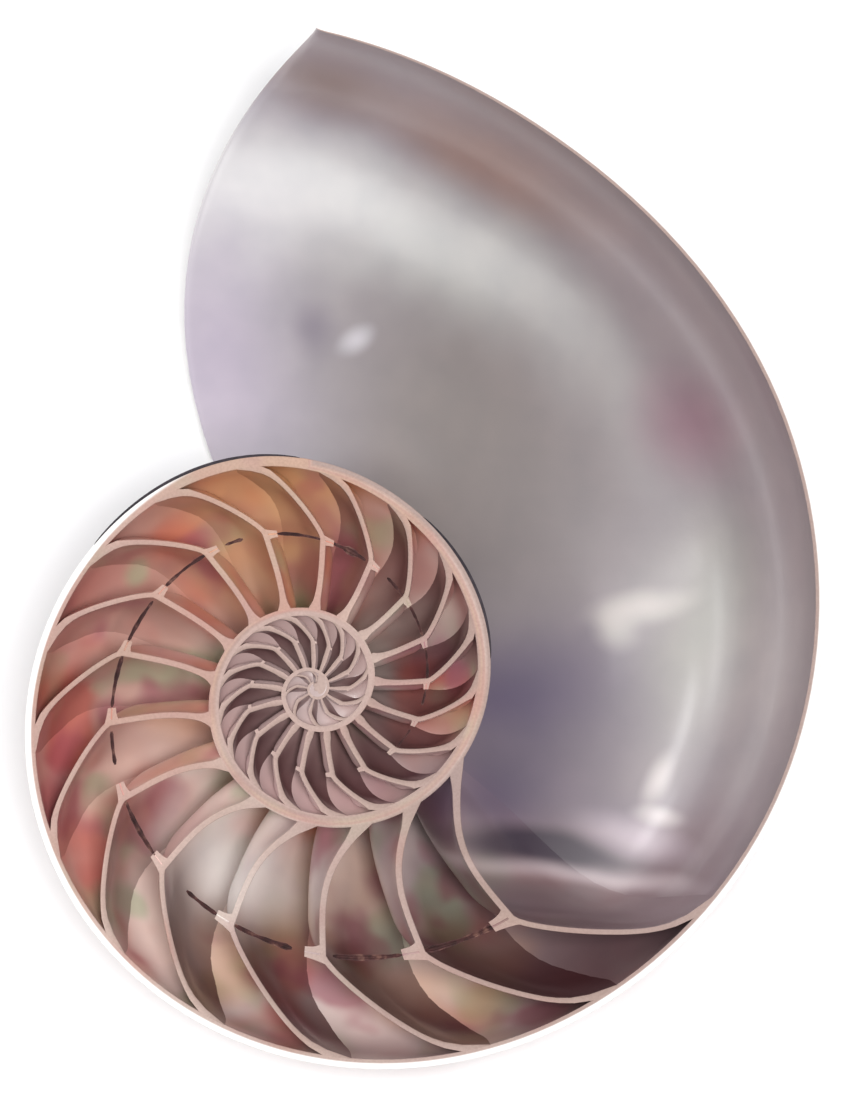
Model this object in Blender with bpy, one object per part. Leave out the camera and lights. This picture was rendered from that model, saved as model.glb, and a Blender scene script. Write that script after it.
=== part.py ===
"""Half of a chambered nautilus shell, sawn along its plane of symmetry, lying on its round flank.

The shell is a tube that grew in a flat spiral and wrapped over its own earlier turns. A point of it is
given by its age angle in degrees, 0 at the lip and rising towards the first chamber, and by a place on the
cross-section of the tube. Septa close off the chambers behind the animal; a thin siphuncle tube ran
through all of them.
"""
import math

import bmesh
import bpy
import numpy as np
from mathutils import Matrix

MM = 0.001

# The spiral's outer radius, millimetres from the coiling axis at each age angle in degrees.
WHORL_RADII = (
    (-60, 124.0), (0, 105.0), (25, 95.8), (60, 87.0), (100, 77.0), (130, 69.5), (200, 56.0), (290, 43.3),
    (345, 38.2), (390, 32.4), (500, 24.3), (640, 16.3), (760, 11.1), (870, 7.3), (940, 6.2), (990, 5.4),
    (1040, 4.1), (1100, 2.8), (1250, 1.7), (1500, 1.1),
)

# The cross-section of the tube, as shares of the outer radius.
WIDEST_AT = 0.42
HALF_WIDTH = 0.350
UMBILICUS_AT = 0.05
UMBILICUS_DEPTH = 0.25
FLANK_SQUARENESS = 2.3
FLANK_SHARE = 0.64

# The lip swings forward on the flank.
LIP_SWING = 26.0
LIP_SWING_AT = 0.30
LIP_SWING_POWER = 1.6
LIP_RETURN = 8.0

# Thickness of the outer wall in millimetres at each age angle, and of the septa.
WALL = ((-60, 1.3), (0, 1.3), (120, 1.5), (350, 1.7), (420, 2.1), (560, 1.9), (720, 1.3), (900, 0.9),
        (1100, 0.5), (1500, 0.3))
SEPTUM = ((0, 1.05), (360, 0.85), (720, 0.55), (1100, 0.4))
DORSAL_FILM = 0.25 * MM

# The septa: age angle of the youngest one's outer end, and the steps to the next ones.
FIRST_SEPTUM = 119.5
YOUNGEST_STEPS = (17.0, 19.5)
SEPTUM_STEP = 20.8
SEPTUM_COUNT = 36
WIDENING_FROM = 30
WIDENING = 1.14
APEX = 1090.0

# The bowl of a septum, in degrees behind its outer end: how deep it is, from the youngest septum on, how
# quickly it bends at the outer wall, and where its inner end lies.
BOWL_LAGS = (20.0, 21.5, 22.5, 23.0, 23.0, 22.0, 21.5, 20.5, 19.5)
INNER_END_LAGS = (-0.5, 4.5, 5.5, 7.0, 9.5, 12.0, 15.0, 16.0)
EDGE_LAG = 4.0
EDGE_SHARE = 0.08
BOWL_OUTER_POWER = 1.15
BOWL_INNER_POWER = 4.0
BOWL_FLANK_POWER = 1.5
SUTURE_LOBE = 8.0
CHAMBER_END = 0.86
STEEPEST_LEAN = 0.85
THICKEST_SHARE = 0.26

# The siphuncle: its place between the inner and outer wall at each age angle. The neck that a septum forms
# round it and the tube that goes on from there are shares of the outer radius.
SIPHUNCLE_AT = ((119, 0.56), (262, 0.56), (350, 0.51))
SIPHUNCLE_AWAY = 0.62
NECK_RADIUS = 0.026
NECK_LENGTH = 0.040
NECK_TAPER = 0.85
NECK_TIP = 1.1
TUBE_RADIUS = 0.012
BORE_SHARE = 0.55
TUBED_SEPTA = 18
TUBE_SIDES = 8

# Where a neck, its tube and its bore start and end, as shares of the way to the next septum.
NECK_START = -0.01
TUBE_END = 0.80
BORE_START = -0.12
BORE_NARROW = 0.02
BORE_END = 0.88

# Mesh steps of the outer wall: around the spiral and across the flank.
TURN_STEPS = 48
FLANK_STEPS = 7
UMBILICUS_STEPS = 2
ROWS_BEFORE_LIP = 2
UMBILICUS_AGE = 200.0

# The plane of symmetry is z = 0 of the shell's own frame, with the half shell below it. The saw takes its
# kerf just below that plane.
SAW_CLEARANCE = 3.0 * MM
SAW_KERF = 0.17 * MM
SAW_REACH = 300.0 * MM
SAW_HEIGHT = 24.0 * MM

# How the half lies when it rests on its flank: the turn of its cut face away from level.
REST_TILT_ABOUT_X = 11.8
REST_TILT_ABOUT_Y = 4.7

# The finish.
NACRE_COLOUR = (0.66, 0.57, 0.54, 1)
NACRE_ROUGHNESS = 0.3
SHARP_ANGLE = 35.0


def through_points(knots, at):
    """A smooth curve through (position, value) knots: cubic pieces whose slopes match at every knot."""
    xs = np.array([knot[0] for knot in knots], dtype=float)
    ys = np.array([knot[1] for knot in knots], dtype=float)
    steps = np.diff(xs)
    chords = np.diff(ys) / steps
    slopes = np.empty(len(xs))
    slopes[0] = chords[0]
    slopes[-1] = chords[-1]
    slopes[1:-1] = (chords[:-1] * steps[1:] + chords[1:] * steps[:-1]) / (steps[:-1] + steps[1:])
    at = np.asarray(at, dtype=float)
    left = np.clip(np.searchsorted(xs, at) - 1, 0, len(xs) - 2)
    width = steps[left]
    u = (at - xs[left]) / width
    return ((1 + 2 * u) * (1 - u) ** 2 * ys[left] + u * (1 - u) ** 2 * width * slopes[left]
            + u * u * (3 - 2 * u) * ys[left + 1] + u * u * (u - 1) * width * slopes[left + 1])


def spiral_radius(age):
    """Outer radius of the whorl, in metres; the curve runs through the logarithms of the knots."""
    logs = [(angle, math.log(radius * MM)) for angle, radius in WHORL_RADII]
    return np.exp(through_points(logs, age))


def thickness(table, age):
    """Wall or septum thickness in metres, in straight steps between the table's ages."""
    return np.interp(age, [row[0] for row in table], [row[1] * MM for row in table])


def section(t):
    """Cross-section of the tube: t = 0 at the saw cut on the venter, 1 at the umbilicus.

    From the venter a quarter of a squarish ellipse runs to the widest place of the flank, and a quarter
    ellipse goes on from there into the umbilicus. Returns distance from the axis and depth, as shares.
    """
    t = np.asarray(t, dtype=float)
    outer = np.clip(t / FLANK_SHARE, 0, 1) * math.pi / 2
    inner = np.clip((t - FLANK_SHARE) / (1 - FLANK_SHARE), 0, 1) * math.pi / 2
    away = WIDEST_AT + (1 - WIDEST_AT) * np.clip(np.cos(outer), 0, 1) ** (2 / FLANK_SQUARENESS)
    away = np.where(t > FLANK_SHARE, WIDEST_AT - (WIDEST_AT - UMBILICUS_AT) * np.sin(inner), away)
    depth = HALF_WIDTH * np.sin(outer)
    depth = np.where(t > FLANK_SHARE, HALF_WIDTH - (HALF_WIDTH - UMBILICUS_DEPTH) * (1 - np.cos(inner)), depth)
    return away, depth


def lip_age(t):
    """Age angle of the lip: 0 at the venter, most forward on the flank, a little back at the umbilicus."""
    away, _ = section(t)
    outward = np.clip((away - LIP_SWING_AT) / (1 - LIP_SWING_AT), 0, 1)
    inward = np.clip((LIP_SWING_AT - away) / (LIP_SWING_AT - UMBILICUS_AT), 0, 1)
    return -LIP_SWING * (1 - outward ** LIP_SWING_POWER) + LIP_RETURN * inward ** 2


def wall_point(age, t, inset):
    """Distance from the axis and height of a point on the wall, moved inward by inset along the section."""
    away, depth = section(t)
    step = 0.01
    away_after, depth_after = section(np.clip(t + step, 0, 1))
    away_before, depth_before = section(np.clip(t - step, 0, 1))
    run = np.hypot(away_after - away_before, depth_after - depth_before)
    radius = spiral_radius(age)
    outward = (depth_after - depth_before) / run
    downward = (away_before - away_after) / run
    return away * radius - inset * outward, -(depth * radius - inset * downward)


def turned(distance, height, age):
    """Places points around the coiling axis: age runs clockwise, seen from above, from the +Y direction."""
    angle = np.radians(age)
    return np.stack([distance * np.sin(angle), distance * np.cos(angle), height + 0 * angle], axis=-1)


def chamber_point(age, s, t, film=0.0):
    """A point in the hollow of the tube: s = 0 on the earlier whorl, 1 on the inside of the outer wall."""
    inner_away, inner_height = wall_point(age + 360, t, -film)
    outer_away, outer_height = wall_point(age, t, thickness(WALL, age))
    return turned(inner_away + s * (outer_away - inner_away), inner_height + s * (outer_height - inner_height), age)


def siphuncle_share(age):
    """Where the siphuncle runs, as a share of the way from the inner to the outer wall."""
    return np.interp(age, [row[0] for row in SIPHUNCLE_AT], [row[1] for row in SIPHUNCLE_AT])


def for_septum(values, number):
    """A septum's own value from a list that starts at the youngest; the older ones share the last value."""
    return values[min(number, len(values) - 1)]


def bowl_lag(number, age, s, t):
    """How far a septum lies behind its outer end, in degrees.

    From the outer wall it bends back quickly, then runs back evenly to its deepest place at the siphuncle,
    stays there, and curves forward again to its inner end. The bowl is shallower down the flank, and the
    whole septum has a shallow lobe there.
    """
    deepest = for_septum(BOWL_LAGS, number)
    inner_end = for_septum(INNER_END_LAGS, number)
    neck = siphuncle_share(age)
    outward = np.clip((1 - s) / (1 - neck), 0, 1)
    inward = np.clip((neck - s) / neck, 0, 1)
    outer_part = (EDGE_LAG * (1 - np.exp(-outward / EDGE_SHARE))
                  + (deepest - EDGE_LAG) * outward ** BOWL_OUTER_POWER)
    inner_part = inner_end + (deepest - inner_end) * (1 - inward ** BOWL_INNER_POWER)
    away, depth = section(t)
    shallower = np.hypot(away, depth) ** BOWL_FLANK_POWER
    lobe = SUTURE_LOBE * np.sin(math.pi * np.clip(t / CHAMBER_END, 0, 1)) ** 2
    return np.where(s > neck, outer_part, inner_part) * shallower + lobe


def septum_ages():
    """Age angle of each septum's outer end: crowded at first, then even, wider apart near the apex."""
    steps = list(YOUNGEST_STEPS) + [SEPTUM_STEP] * (SEPTUM_COUNT - 1 - len(YOUNGEST_STEPS))
    for index in range(WIDENING_FROM, len(steps)):
        steps[index] = steps[index - 1] * WIDENING
    return [FIRST_SEPTUM + sum(steps[:index]) for index in range(SEPTUM_COUNT)]


def septum_face(number, age, s, t, side):
    """Age angles of one face of a septum: side = -1 towards the lip, +1 towards the apex.

    A face lies half a thickness from the middle, measured square to the septum, and near the axis, where
    the septa crowd together, it keeps to a share of their step.
    """
    middle = age + bowl_lag(number, age, s, t)
    points = chamber_point(middle, s, t)
    radius = np.hypot(points[..., 0], points[..., 1])
    along = np.radians(middle)
    lean = 0
    for axis in (0, 1):
        run = np.linalg.norm(np.gradient(points, axis=axis), axis=-1).clip(1e-6)
        lean = lean + (np.gradient(along, axis=axis) * radius / run) ** 2
    lean = np.clip(lean, 0, STEEPEST_LEAN)
    half = thickness(SEPTUM, age) / 2 / np.sqrt(1 - lean)
    return middle + side * np.minimum(np.degrees(half / radius), THICKEST_SHARE * YOUNGEST_STEPS[0])


def new_object(name, mesh, collection):
    """Puts a mesh into the scene as a named object."""
    thing = bpy.data.objects.new(name, mesh)
    collection.objects.link(thing)
    return thing


def closed_mesh(name, points, faces):
    """A mesh from points and faces, with its normals turned outward."""
    mesh = bpy.data.meshes.new(name)
    mesh.from_pydata([tuple(point) for point in points], [], faces)
    body = bmesh.new()
    body.from_mesh(mesh)
    bmesh.ops.remove_doubles(body, verts=body.verts, dist=1e-7)
    bmesh.ops.recalc_face_normals(body, faces=body.faces)
    body.to_mesh(mesh)
    body.free()
    return mesh


def block_faces(counts):
    """The faces on the six sides of a block of points counted along three directions."""
    a, b, c = counts
    index = np.arange(a * b * c).reshape(a, b, c)
    sides = (index[0], index[-1], index[:, 0], index[:, -1], index[:, :, 0], index[:, :, -1])
    faces = []
    for side in sides:
        corners = np.stack([side[:-1, :-1], side[1:, :-1], side[1:, 1:], side[:-1, 1:]], axis=-1)
        faces += corners.reshape(-1, 4).tolist()
    return faces


def hollow(name, rows, collection):
    """A cutter for one hollow: rows of points [age step, s, t], with one more row above the saw cut."""
    above = rows[:, :, :1].copy()
    above[..., 2] = SAW_CLEARANCE
    points = np.concatenate([above, rows], axis=2)
    cutter = new_object(name, closed_mesh(name, points.reshape(-1, 3), block_faces(points.shape[:3])), collection)
    cutter.hide_render = True
    cutter.display_type = 'WIRE'
    return cutter


def chamber_grid(number):
    """Mesh places across a chamber, closest where its septa bend most, and its steps down and along.

    Small chambers have fewer of them. The first chamber has the same places as the body chamber, because
    the two share a septum.
    """
    large = (0, 0.08, 0.2, 0.38, 0.56, 0.78, 1)
    if number == 0:
        return large, FLANK_STEPS, 2
    if number < 8:
        return large, 5, 2
    if number < 17:
        return (0, 0.12, 0.53, 0.76, 0.93, 1), 4, 2
    if number < 26:
        return (0, 0.25, 0.51, 0.8, 1), 3, 1
    return (0, 0.4, 0.7, 1), 3, 1


def spread(points, places, new_places, axis):
    """Points at new places along one direction of a grid, on the straight lines between the old ones."""
    return np.apply_along_axis(lambda line: np.interp(new_places, places, line), axis, points)


def septum_points(number, ages, side, across, down):
    """One face of a septum at given places, kept to the flat facets of the chamber behind the septum.

    So the two faces of a septum stay parallel where a chamber has more facets than the one behind it.
    """
    own_across, own_steps, _ = chamber_grid(number)
    own_down = np.linspace(0, CHAMBER_END, own_steps + 1)
    s, t = np.meshgrid(own_across, own_down, indexing='ij')
    points = chamber_point(septum_face(number, ages[number], s, t, side), s, t)
    return spread(spread(points, own_across, across, 0), own_down, down, 1)


def make_chambers(ages, collection):
    """Cuts for the chambers between each septum and the next, and for the first chamber of all."""
    for number in range(SEPTUM_COUNT):
        across, t_steps, age_steps = chamber_grid(number)
        down = np.linspace(0, CHAMBER_END, t_steps + 1)
        s, t = np.meshgrid(across, down, indexing='ij')
        front = septum_face(number, ages[number], s, t, 1)
        if number + 1 < SEPTUM_COUNT:
            back = septum_face(number + 1, ages[number + 1], s, t, -1)
            last = septum_points(number + 1, ages, -1, across, down)
        else:
            back = APEX + 0 * front
            last = chamber_point(back, s, t)
        shares = np.linspace(0, 1, age_steps + 1)[:-1]
        rows = [chamber_point(front + share * (back - front), s, t) for share in shares]
        hollow(f"chamber_{number + 1}_cut", np.stack(rows + [last]), collection)


def make_body_chamber(age, collection):
    """The cut for the open last chamber, from before the lip back to the youngest septum."""
    across, t_steps, _ = chamber_grid(0)
    s, t = np.meshgrid(across, np.linspace(0, CHAMBER_END, t_steps + 1), indexing='ij')
    back = septum_face(0, age, s, t, -1)
    step = 360 / TURN_STEPS
    least_gap = 0.6 * step
    rows = []
    for index in range(-ROWS_BEFORE_LIP, TURN_STEPS):
        here = lip_age(t) + index * step
        if np.any(here > back - least_gap):
            break
        rows.append(chamber_point(here, s, t, DORSAL_FILM))
    last = here - step
    for share in (0.5, 1.0):
        rows.append(chamber_point(last + share * (back - last), s, t, DORSAL_FILM))
    hollow("body_chamber_cut", np.stack(rows), collection)


def outer_form(collection):
    """The whole outside of the half, still solid: one turn of the flank, closed at the lip and umbilicus."""
    flank_line = np.linspace(0, CHAMBER_END, FLANK_STEPS + 1)
    t_line = np.concatenate([flank_line, np.linspace(CHAMBER_END, 1, UMBILICUS_STEPS + 1)[1:]])
    turns, t = np.meshgrid(np.linspace(0, 1, TURN_STEPS + 1), t_line, indexing='ij')
    age = lip_age(t) + 360 * turns
    away, height = wall_point(age, t, 0.0)
    flank = turned(away, height, age)
    above = flank[:, :1].copy()
    above[..., 2] = SAW_CLEARANCE / 2
    points = np.concatenate([above, flank], axis=1)
    rounds, across = points.shape[:2]
    index = np.arange(rounds * across).reshape(rounds, across)
    after = np.roll(index, -1, axis=0)
    quads = np.stack([index[:, :-1], after[:, :-1], after[:, 1:], index[:, 1:]], axis=-1).reshape(-1, 4).tolist()
    middle = rounds * across
    callus = [[int(a), int(b), middle] for a, b in zip(index[:, -1], after[:, -1])]
    top = [[int(i) for i in index[:, 0]]]
    centre = [0.0, 0.0, -UMBILICUS_DEPTH * float(spiral_radius(UMBILICUS_AGE))]
    mesh = closed_mesh("shell_half", list(points.reshape(-1, 3)) + [centre], quads + callus + top)
    return new_object("shell_half", mesh, collection)


def tube_mesh(name, number, ages, radii, collection):
    """A round rod that starts on a septum and runs back along the spiral.

    radii holds pairs of the share of the way to the next septum and the rod's radius in metres. The first
    two rings lean as the septum does, so that they stay clear of its facets.
    """
    age = ages[number]
    lag = float(bowl_lag(number, age, siphuncle_share(age), 0.0))
    next_lag = float(bowl_lag(number + 1, ages[number + 1], siphuncle_share(ages[number + 1]), 0.0))
    start = age + lag
    span = ages[number + 1] + next_lag - start
    around = np.linspace(0, 2 * math.pi, TUBE_SIDES, endpoint=False) + math.pi / TUBE_SIDES
    leaning = 2
    rings = []
    for order, (share, radius) in enumerate(radii):
        here = start + share * span
        inner = spiral_radius(here + 360)
        outer = spiral_radius(here) - thickness(WALL, here)
        centre = inner + siphuncle_share(age + share * SEPTUM_STEP) * (outer - inner)
        away = centre + radius * np.cos(around)
        ring_age = np.full(TUBE_SIDES, here)
        if order < leaning:
            s = (away - inner) / (outer - inner)
            ring_age = here + bowl_lag(number, age, s, 0 * s) - lag
        rings.append(turned(away, radius * np.sin(around), ring_age))
    points = np.concatenate(rings)
    count = len(rings)
    index = np.arange(count * TUBE_SIDES).reshape(count, TUBE_SIDES)
    after = np.roll(index, -1, axis=1)
    faces = np.stack([index[:-1], after[:-1], after[1:], index[1:]], axis=-1).reshape(-1, 4).tolist()
    faces += [index[0].tolist(), index[-1].tolist()]
    rod = new_object(name, closed_mesh(name, points, faces), collection)
    rod.hide_render = True
    rod.display_type = 'WIRE'


def make_siphuncle(ages, tubes, bores):
    """The septal necks with what is left of the tube behind each, and the bore through them."""
    for number in range(TUBED_SEPTA):
        size = float(spiral_radius(ages[number]))
        neck = NECK_RADIUS * size
        tube = TUBE_RADIUS * size
        bore = BORE_SHARE * tube
        step = math.radians(ages[number + 1] - ages[number]) * size * SIPHUNCLE_AWAY
        neck_end = NECK_LENGTH * size / step
        outside = ((NECK_START, neck), (neck_end / 2, NECK_TAPER * neck), (neck_end, NECK_TIP * tube),
                   (TUBE_END, tube))
        inside = ((BORE_START, NECK_TIP * tube), (BORE_NARROW, bore), (neck_end, bore), (BORE_END, bore))
        tube_mesh(f"tube_{number + 1}", number, ages, outside, tubes)
        tube_mesh(f"bore_{number + 1}", number, ages, inside, bores)


def combine(thing, operation, collection):
    """Adds or takes away everything in a collection, one piece after the other."""
    for other in collection.objects:
        step = thing.modifiers.new(other.name, 'BOOLEAN')
        step.operation = operation
        step.solver = 'EXACT'
        step.object = other


def make_saw(collection):
    """The cut that halves the shell: all above its plane of symmetry is taken away."""
    bpy.ops.mesh.primitive_cube_add(size=1, location=(0, 0, SAW_HEIGHT / 2 - SAW_KERF))
    saw = bpy.context.object
    saw.name = "saw_cut"
    saw.scale = (SAW_REACH, SAW_REACH, SAW_HEIGHT)
    bpy.ops.object.transform_apply(location=True, scale=True)
    for holder in list(saw.users_collection):
        holder.objects.unlink(saw)
    collection.objects.link(saw)
    saw.hide_render = True
    saw.display_type = 'WIRE'


def shell_material():
    """Nacre and porcelain layers of the shell: pale, smooth, a little pinkish."""
    material = bpy.data.materials.new("nacre")
    material.use_nodes = True
    shader = material.node_tree.nodes["Principled BSDF"]
    shader.inputs["Base Color"].default_value = NACRE_COLOUR
    shader.inputs["Roughness"].default_value = NACRE_ROUGHNESS
    shader.inputs["Metallic"].default_value = 0.0
    return material


def cutter_collection(name):
    """A collection of its own for one set of cutters."""
    collection = bpy.data.collections.new(name)
    bpy.context.scene.collection.children.link(collection)
    return collection


def finished(shell):
    """Replaces the shell's mesh by the cut one, lays it on its flank and puts its origin under its middle."""
    graph = bpy.context.evaluated_depsgraph_get()
    cut = bpy.data.meshes.new_from_object(shell.evaluated_get(graph))
    shell.modifiers.clear()
    shell.data = cut
    body = bmesh.new()
    body.from_mesh(cut)
    bmesh.ops.triangulate(body, faces=body.faces)
    body.to_mesh(cut)
    body.free()
    rest = (Matrix.Rotation(math.radians(REST_TILT_ABOUT_Y), 4, 'Y')
            @ Matrix.Rotation(math.radians(REST_TILT_ABOUT_X), 4, 'X'))
    cut.transform(rest)
    places = np.empty(len(cut.vertices) * 3)
    cut.vertices.foreach_get("co", places)
    low = places.reshape(-1, 3).min(axis=0)
    high = places.reshape(-1, 3).max(axis=0)
    shift = (-(low[0] + high[0]) / 2, -(low[1] + high[1]) / 2, -low[2])
    cut.transform(Matrix.Translation(shift))
    print("coiling axis meets the cut face at", [round(float(value), 6) for value in shift])


for old in list(bpy.data.objects):
    bpy.data.objects.remove(old, do_unlink=True)

parts = bpy.data.collections.new("nautilus shell half")
bpy.context.scene.collection.children.link(parts)
chamber_cuts = cutter_collection("chamber cuts")
tube_rods = cutter_collection("siphuncle tubes")
bore_cuts = cutter_collection("siphuncle bores")
saw_cuts = cutter_collection("saw")

septa = septum_ages()
shell_half = outer_form(parts)
make_body_chamber(septa[0], chamber_cuts)
make_chambers(septa, chamber_cuts)
make_siphuncle(septa, tube_rods, bore_cuts)
make_saw(saw_cuts)

combine(shell_half, 'DIFFERENCE', chamber_cuts)
combine(shell_half, 'UNION', tube_rods)
combine(shell_half, 'DIFFERENCE', bore_cuts)
combine(shell_half, 'DIFFERENCE', saw_cuts)
finished(shell_half)
shell_half.data.materials.clear()
shell_half.data.materials.append(shell_material())
shell_half.data.shade_smooth()
shell_half.data.set_sharp_from_angle(angle=math.radians(SHARP_ANGLE))
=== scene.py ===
"""Looks of a nautilus shell half, sawn along its plane of symmetry and lying on its round flank.

All shapes are worked out in the shell's own frame: the coiling axis is the z axis, the sawn face is level
and just under z = 0, and the half lies below it. A place on the shell is given by its age angle in
degrees, 0 at the lip and rising towards the first chamber, and by t, from 0 at the sawn venter to 1 at the
umbilicus.
"""
import math

import bpy
import numpy as np
from mathutils import Matrix, Vector


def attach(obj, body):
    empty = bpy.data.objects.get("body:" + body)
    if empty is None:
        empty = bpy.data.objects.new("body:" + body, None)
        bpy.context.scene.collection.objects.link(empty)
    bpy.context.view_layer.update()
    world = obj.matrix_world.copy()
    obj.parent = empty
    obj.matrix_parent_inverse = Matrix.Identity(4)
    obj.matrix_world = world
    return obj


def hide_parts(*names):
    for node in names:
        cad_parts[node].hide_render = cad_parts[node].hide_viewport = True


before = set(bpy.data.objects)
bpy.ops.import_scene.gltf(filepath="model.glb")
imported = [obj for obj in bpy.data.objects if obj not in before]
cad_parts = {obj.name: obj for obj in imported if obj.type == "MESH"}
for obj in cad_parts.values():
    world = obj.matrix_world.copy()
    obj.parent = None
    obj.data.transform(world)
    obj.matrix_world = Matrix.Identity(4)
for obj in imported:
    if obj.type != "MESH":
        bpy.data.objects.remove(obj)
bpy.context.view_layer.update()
MM = 0.001

# The outer wall.
# The animal built it as one tube that coils over its own earlier turns: white porcelain outside with rust
# coloured flames on the older part, mother-of-pearl inside. The saw laid its edge open as a spiral ribbon.

# Age angle, outer radius of the whorl in millimetres.
WHORL_RADII = (
    (-60, 124.0), (0, 105.0), (25, 95.8), (60, 87.0), (100, 77.0), (130, 69.5), (200, 56.0), (290, 43.3),
    (345, 38.2), (390, 32.4), (500, 24.3), (640, 16.3), (760, 11.1), (870, 7.3), (940, 6.2), (990, 5.4),
    (1040, 4.1), (1100, 2.8), (1250, 1.7), (1500, 1.1),
)
WIDEST_AT = 0.42
HALF_WIDTH = 0.350
UMBILICUS_AT = 0.05
UMBILICUS_DEPTH = 0.25
FLANK_SQUARENESS = 2.3
FLANK_SHARE = 0.64
LIP_SWING = 26.0
LIP_SWING_AT = 0.30
LIP_SWING_POWER = 1.6
LIP_RETURN = 8.0
# Age angle, thickness in millimetres.
WALL = ((-60, 1.3), (0, 1.3), (120, 1.5), (350, 1.7), (420, 2.1), (560, 1.9), (720, 1.3), (900, 0.9),
        (1100, 0.5), (1500, 0.3))
SAW_KERF = 0.17 * MM
REST_TILT_ABOUT_X = 11.8
REST_TILT_ABOUT_Y = 4.7
LIP_THINNEST = 0.35
LIP_THINNING = 14.0
LIP_ROUNDING = 0.9
EDGE_BEVEL = 0.10 * MM
SHARP_ANGLE = 40.0
FULL_TURN = 360.0
WALL_END = 1420.0
WALL_ROWS = 620
WALL_COLUMNS = 44
LIP_ROWS = 9
LIP_ROWS_END = 3.0
SECTION_STEP = 0.01
PORCELAIN_END = 345.0
PORCELAIN_FADE = 45.0


def through_points(knots, at):
    """A smooth curve through (position, value) knots: cubic pieces whose slopes match at every knot."""
    xs, ys = np.array(knots, dtype=float).T
    steps = np.diff(xs)
    chords = np.diff(ys) / steps
    slopes = np.empty(len(xs))
    slopes[0] = chords[0]
    slopes[-1] = chords[-1]
    slopes[1:-1] = (chords[:-1] * steps[1:] + chords[1:] * steps[:-1]) / (steps[:-1] + steps[1:])
    at = np.asarray(at, dtype=float)
    left = np.clip(np.searchsorted(xs, at) - 1, 0, len(xs) - 2)
    width = steps[left]
    u = (at - xs[left]) / width
    return ((1 + 2 * u) * (1 - u) ** 2 * ys[left] + u * (1 - u) ** 2 * width * slopes[left]
            + u * u * (3 - 2 * u) * ys[left + 1] + u * u * (u - 1) * width * slopes[left + 1])


def spiral_radius(age):
    """Outer radius of the whorl, in metres: the smooth curve through the logarithms of the knots."""
    logs = [(angle, math.log(radius * MM)) for angle, radius in WHORL_RADII]
    return np.exp(through_points(logs, age))


def thickness(table, age):
    """A thickness in metres, in straight steps between the table's ages."""
    ages, sizes = zip(*table)
    return np.interp(age, ages, np.array(sizes) * MM)


def section(t):
    """Cross-section of the tube: distance from the axis and depth, as shares of the outer radius.

    From the venter a quarter of a squarish ellipse runs to the widest place of the flank, and a quarter
    ellipse goes on from there into the umbilicus.
    """
    t = np.asarray(t, dtype=float)
    outer = np.clip(t / FLANK_SHARE, 0, 1) * math.pi / 2
    inner = np.clip((t - FLANK_SHARE) / (1 - FLANK_SHARE), 0, 1) * math.pi / 2
    away = WIDEST_AT + (1 - WIDEST_AT) * np.clip(np.cos(outer), 0, 1) ** (2 / FLANK_SQUARENESS)
    away = np.where(t > FLANK_SHARE, WIDEST_AT - (WIDEST_AT - UMBILICUS_AT) * np.sin(inner), away)
    rise = (HALF_WIDTH - UMBILICUS_DEPTH) * (1 - np.cos(inner))
    depth = np.where(t > FLANK_SHARE, HALF_WIDTH - rise, HALF_WIDTH * np.sin(outer))
    return away, depth


def lip_age(t):
    """Age angle of the lip: 0 at the venter, most forward on the flank, a little back at the umbilicus."""
    away, _ = section(t)
    outward = np.clip((away - LIP_SWING_AT) / (1 - LIP_SWING_AT), 0, 1)
    inward = np.clip((LIP_SWING_AT - away) / (LIP_SWING_AT - UMBILICUS_AT), 0, 1)
    return -LIP_SWING * (1 - outward ** LIP_SWING_POWER) + LIP_RETURN * inward ** 2


def wall_point(age, t, inset):
    """Distance from the axis and height of a point on the wall, moved inward by inset along the section.

    The height starts at the sawn face and reaches the full depth at the widest place of the flank.
    """
    away, depth = section(t)
    away_after, depth_after = section(np.clip(t + SECTION_STEP, 0, 1))
    away_before, depth_before = section(np.clip(t - SECTION_STEP, 0, 1))
    run = np.hypot(away_after - away_before, depth_after - depth_before)
    radius = spiral_radius(age)
    outward = (depth_after - depth_before) / run
    downward = (away_before - away_after) / run
    fall = SAW_KERF * (1 - depth / HALF_WIDTH)
    return away * radius - inset * outward, -(depth * radius - inset * downward) - fall


def turned(distance, height, age):
    """Places points around the coiling axis: age runs clockwise, seen from above, from the +Y direction."""
    angle = np.radians(age)
    return np.stack([distance * np.sin(angle), distance * np.cos(angle), height + 0 * angle], axis=-1)


LYING = (Matrix.Rotation(math.radians(REST_TILT_ABOUT_Y), 4, 'Y')
         @ Matrix.Rotation(math.radians(REST_TILT_ABOUT_X), 4, 'X'))
# Where the coiling axis meets the sawn plane, in metres, once the half lies on its flank.
AXIS_PLACE = np.array([-0.017214, -0.022083, 0.031087])


def laid(points):
    """Points of the shell's own frame, turned and moved to where the half lies on its flank."""
    turn = np.array(LYING.to_3x3())
    return np.asarray(points) @ turn.T + AXIS_PLACE


def put_in_mesh(name, points, quads, slots, attributes, materials):
    """A new object from points in the shell's own frame, with one material slot number for each face.

    The pearl's colours follow pearl_age, which is the point's own age unless the attributes say otherwise.
    """
    mesh = bpy.data.meshes.new(name)
    mesh.from_pydata(laid(points).tolist(), [], quads.tolist())
    for key, values in {"pearl_age": attributes["age"], **attributes}.items():
        layer = mesh.attributes.new(key, 'FLOAT', 'POINT')
        layer.data.foreach_set("value", np.ascontiguousarray(values, dtype=np.float32))
    for material in materials:
        mesh.materials.append(material)
    mesh.polygons.foreach_set("material_index", slots.astype(np.int32))
    mesh.shade_smooth()
    mesh.set_sharp_from_angle(angle=math.radians(SHARP_ANGLE))
    thing = bpy.data.objects.new(name, mesh)
    bpy.context.scene.collection.objects.link(thing)
    return thing


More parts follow.
